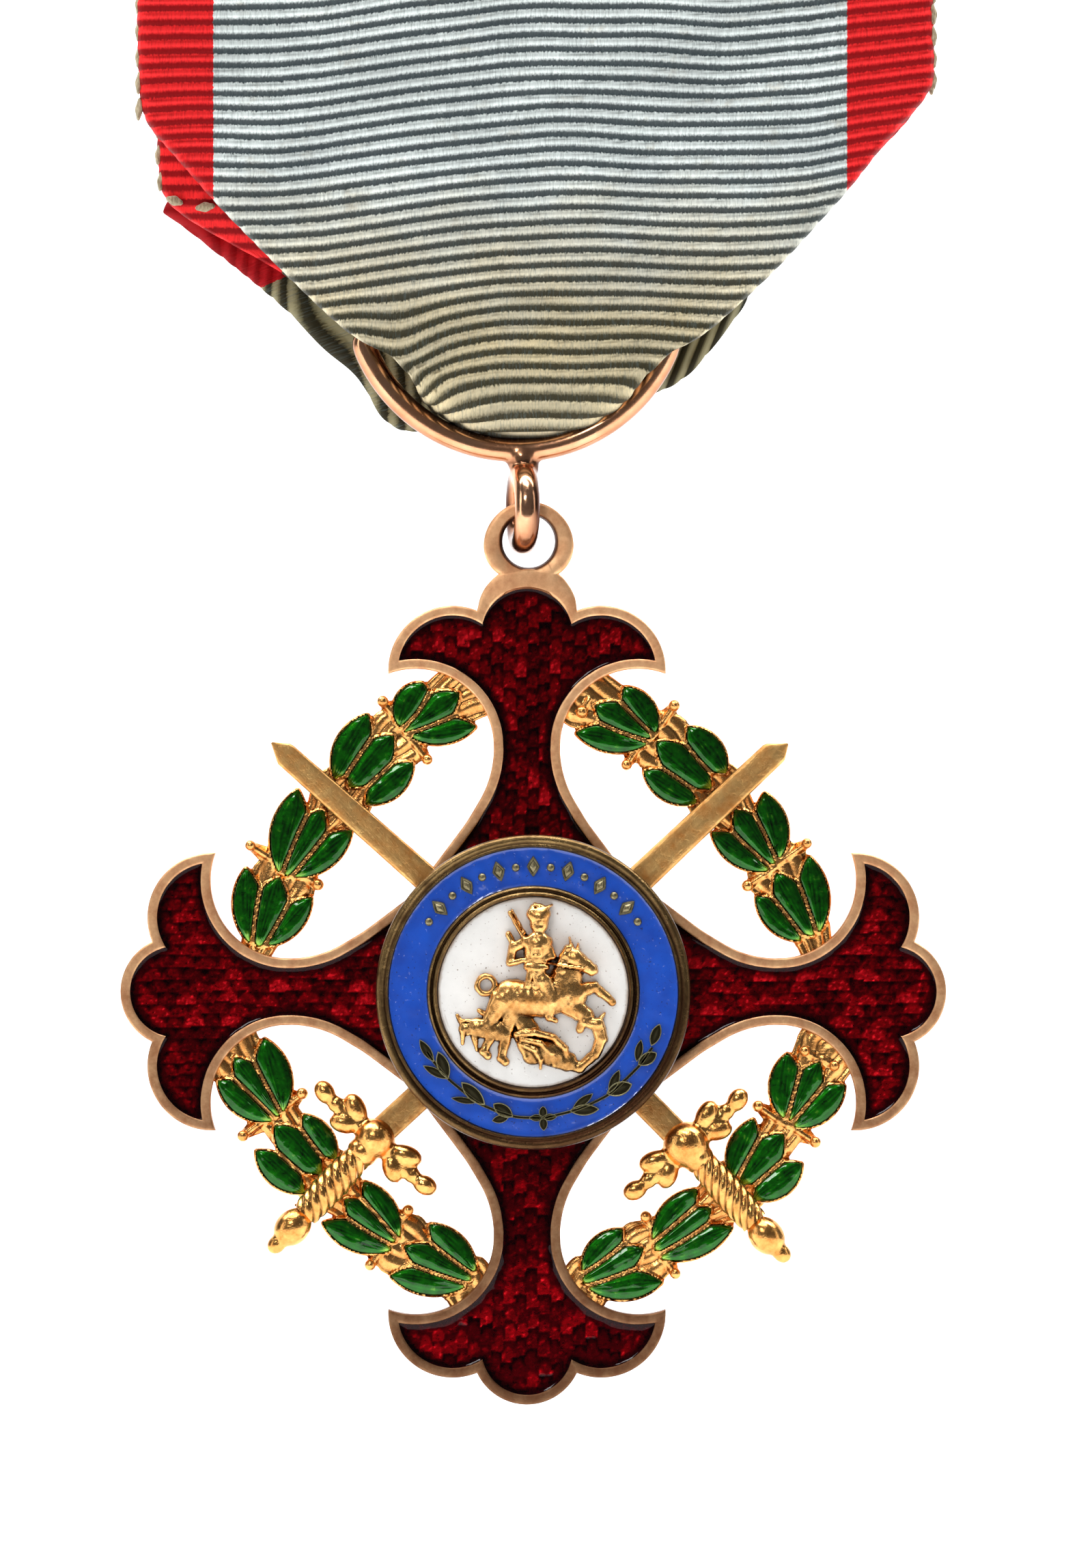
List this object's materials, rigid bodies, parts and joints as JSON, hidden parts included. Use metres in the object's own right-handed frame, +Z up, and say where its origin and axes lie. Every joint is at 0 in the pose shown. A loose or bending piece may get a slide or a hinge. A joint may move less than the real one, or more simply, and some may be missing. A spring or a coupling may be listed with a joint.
{
  "type": "order insignia",
  "caption": "Badge of an order: enamelled cross with laurel wreaths, crossed swords and a round medallion, swinging from a ring on a folded ribbed ribbon.",
  "frame": {"origin": "middle of the brooch bar inside the ribbon's top fold, where the insignia is pinned on", "axes": "+Z up, the worn front faces -Y, +X to the viewer's right; the cross hangs below the origin"},
  "size_m": [0.0404, 0.0071, 0.0709],
  "materials": {
    "gilt_silver": "worn rose gilding, brushed",
    "bright_gold": "cast and chased gilding",
    "sword_metal": "worn gilding, paler on the blades",
    "dark_silver": "tarnished, cut with a graver",
    "red_enamel": "translucent red over a patterned ground",
    "green_enamel": "translucent green over a ribbed ground",
    "blue_enamel": "opaque blue, worn gloss",
    "white_enamel": "opaque white, gloss",
    "ribbed_ribbon": "ribbed silk, red stripes at both edges",
    "plain_steel": "plain, dull"
  },
  "bodies": {
    "ribbon_hanger": {"ribbon": "ribbed_ribbon", "ribbon_rear_fold": "ribbed_ribbon", "brooch_pin": "plain_steel", "suspension_ring": "gilt_silver"},
    "cross": {"cross_frame": "gilt_silver", "enamel_arm_top": "red_enamel", "enamel_arm_right": "red_enamel", "enamel_arm_bottom": "red_enamel", "enamel_arm_left": "red_enamel", "leaves_upper_left": "green_enamel", "leaves_upper_right": "green_enamel", "leaves_lower_left": "green_enamel", "leaves_lower_right": "green_enamel", "sword_blade_left": "sword_metal", "sword_blade_right": "sword_metal", "medallion_case": "gilt_silver", "medallion_blue_enamel": "blue_enamel", "medallion_white_enamel": "white_enamel", "motto_band_beads": "bright_gold", "laurel_sprig": "dark_silver", "rider_relief": "bright_gold", "back_plate": "gilt_silver"}
  },
  "joints": [
    {"name": "cross_swing", "type": "hinge", "parent": "ribbon_hanger", "child": "cross", "pos_m": [-0.0005, 0, -0.02618], "axis": [1, 0, 0], "range_deg": [-80, 80]}
  ]
}
